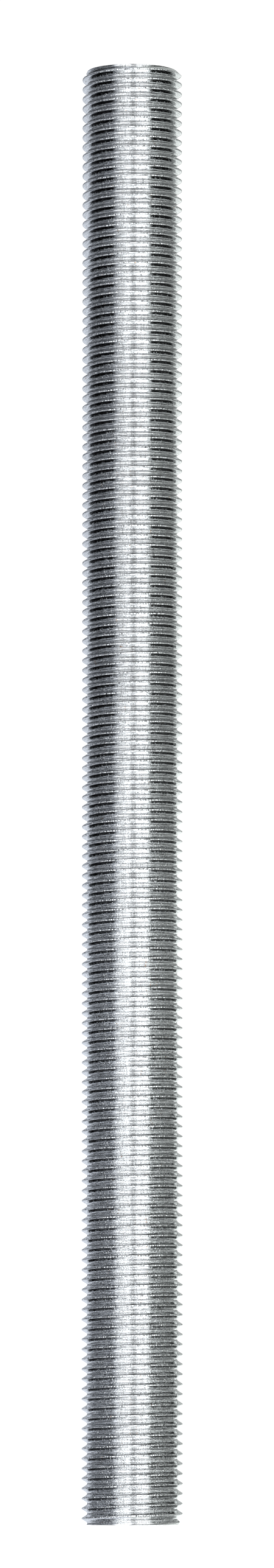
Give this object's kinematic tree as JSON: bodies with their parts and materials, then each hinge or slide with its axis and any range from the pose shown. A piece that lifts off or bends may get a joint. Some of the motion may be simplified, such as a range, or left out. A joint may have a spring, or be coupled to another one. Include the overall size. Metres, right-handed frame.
{
  "type": "threaded pipe nipple",
  "caption": "Straight steel pipe nipple, threaded over its whole length with a fine right-hand running thread, chamfered at both ends and open right through.",
  "frame": {"origin": "centre of the bottom end face, where the nipple stands on a surface", "axes": "+Z along the tube's axis, from the bottom end to the top end. -Y faces the viewer in the reference view, with +X to the right"},
  "size_m": [0.0096, 0.0096, 0.1397],
  "materials": {
    "tube": "clear zinc plate, satin, drawn bore",
    "thread": "clear zinc plate over a rolled thread, bright crests and grainy flanks"
  },
  "bodies": {
    "root": {"tube_wall": "tube", "lower_thread": "thread", "upper_thread": "thread"}
  },
  "joints": []
}
